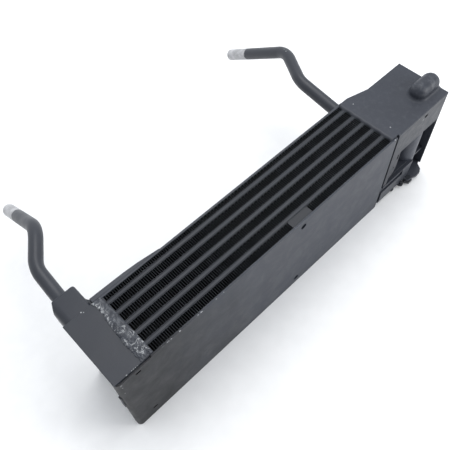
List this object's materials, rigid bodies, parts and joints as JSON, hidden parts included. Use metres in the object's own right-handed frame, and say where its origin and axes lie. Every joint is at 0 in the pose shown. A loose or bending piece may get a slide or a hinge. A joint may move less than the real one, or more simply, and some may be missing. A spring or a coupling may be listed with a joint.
{
  "type": "hydraulic oil cooler",
  "caption": "Bar-and-plate hydraulic oil cooler lying with its finned air face up, with a plain end tank, a bypass-valve header and bent steel pipes.",
  "frame": {"origin": "centre of the finned core's bottom air face, on the surface the cooler lies on", "axes": "+X along the core from the plain end tank to the valve header, +Y to the side where both pipes leave, +Z out of the upper air face"},
  "size_m": [0.577, 0.3707, 0.179],
  "materials": {
    "painted_casing": "satin dark blue-grey paint with small chips",
    "painted_core": "satin dark blue-grey paint, thin on the edges",
    "painted_fins": "thin dark blue-grey spray paint",
    "painted_weld": "rough weld bead under paint",
    "painted_pipe": "satin dark blue-grey paint, bare metal towards the free end",
    "bare_aluminium": "plain mill finish",
    "dark_fasteners": "dark blue-grey paint over steel",
    "valve_steel": "machined steel",
    "seal_washer": "soft flat washer"
  },
  "bodies": {
    "cooler": {"air_fins_1": "painted_fins", "air_fins_2": "painted_fins", "air_fins_3": "painted_fins", "air_fins_4": "painted_fins", "air_fins_5": "painted_fins", "air_fins_6_far": "painted_fins", "air_fins_6_middle": "painted_fins", "air_fins_6_near": "painted_fins", "back_doubler": "painted_casing", "back_side_plate": "painted_casing", "bypass_partition": "painted_casing", "core_weld": "painted_weld", "ear_bolt": "dark_fasteners", "end_bars_far": "painted_core", "end_bars_near": "painted_core", "far_pipe": "painted_pipe", "far_pipe_weld": "painted_weld", "foot_plate": "painted_casing", "foot_screws": "dark_fasteners", "front_side_plate": "painted_casing", "header_back_wall": "painted_casing", "header_end_wall": "painted_casing", "header_hood": "painted_casing", "header_shelf": "painted_casing", "header_tank": "painted_casing", "lower_rail": "painted_casing", "near_pipe": "painted_pipe", "near_pipe_weld": "painted_weld", "parting_sheets_1": "painted_core", "parting_sheets_2": "painted_core", "parting_sheets_3": "painted_core", "parting_sheets_4": "painted_core", "parting_sheets_5": "painted_core", "passage_bars_1": "painted_core", "passage_bars_2": "painted_core", "passage_bars_3": "painted_core", "passage_bars_4": "painted_core", "passage_bars_5": "painted_core", "plug_washer": "seal_washer", "port_boss": "painted_casing", "tank_back_cap": "painted_casing", "tank_end_pad": "painted_casing", "tank_front_cap": "painted_casing", "tank_shell": "painted_casing", "threaded_block_bottom": "painted_casing", "threaded_block_top": "painted_casing", "transfer_tubes": "bare_aluminium", "turbulator_1": "bare_aluminium", "turbulator_2": "bare_aluminium", "turbulator_3": "bare_aluminium", "turbulator_4": "bare_aluminium", "valve_housing": "painted_casing", "valve_plug": "valve_steel", "valve_seat": "valve_steel", "valve_spring": "valve_steel"},
    "poppet": {"valve_poppet": "valve_steel"}
  },
  "joints": [
    {"name": "bypass_lift", "type": "slide", "parent": "cooler", "child": "poppet", "axis": [0, 0, -1], "range_m": [0, 0.006], "stiffness_N_per_m": 2000, "springref_m": -0.008, "deforming": ["valve_spring"]}
  ]
}
